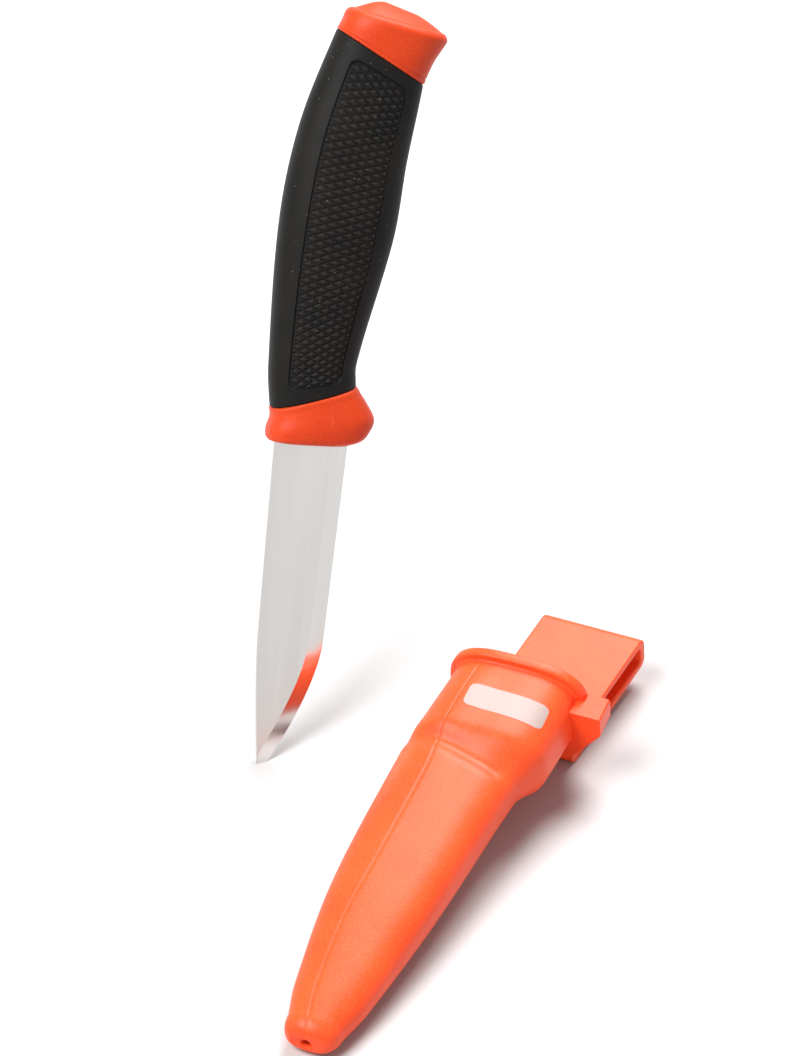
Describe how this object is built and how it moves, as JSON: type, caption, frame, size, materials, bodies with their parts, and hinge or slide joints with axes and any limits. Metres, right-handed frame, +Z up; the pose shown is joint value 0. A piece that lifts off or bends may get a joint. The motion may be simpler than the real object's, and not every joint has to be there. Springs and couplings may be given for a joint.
{
  "type": "fixed blade knife with sheath",
  "caption": "Fixed craft knife with a soft grip, stuck by its point, and a moulded belt sheath that its blade and guard slide into.",
  "frame": {"origin": "where the blade enters the surface that holds it, on the blade's middle line", "axes": "+Z up, +Y along the lying sheath towards its mouth, +X from the knife towards the sheath"},
  "size_m": [0.1206, 0.2283, 0.1963],
  "materials": {
    "steel": "satin ground stainless steel",
    "handle_plastic": "fine textured orange moulding",
    "grip_rubber": "matte black soft moulding with raised diamonds",
    "sheath_plastic": "satin orange moulding"
  },
  "bodies": {
    "knife": {"blade": "steel", "handle_core": "handle_plastic", "grip_sleeve": "grip_rubber"},
    "sheath": {"sheath_shell": "sheath_plastic", "belt_loop": "sheath_plastic"}
  },
  "joints": [
    {"name": "sheath_draw", "type": "slide", "parent": "knife", "child": "sheath", "axis": [0, 0.9911, 0.1332], "range_m": [0, 0.13]}
  ]
}
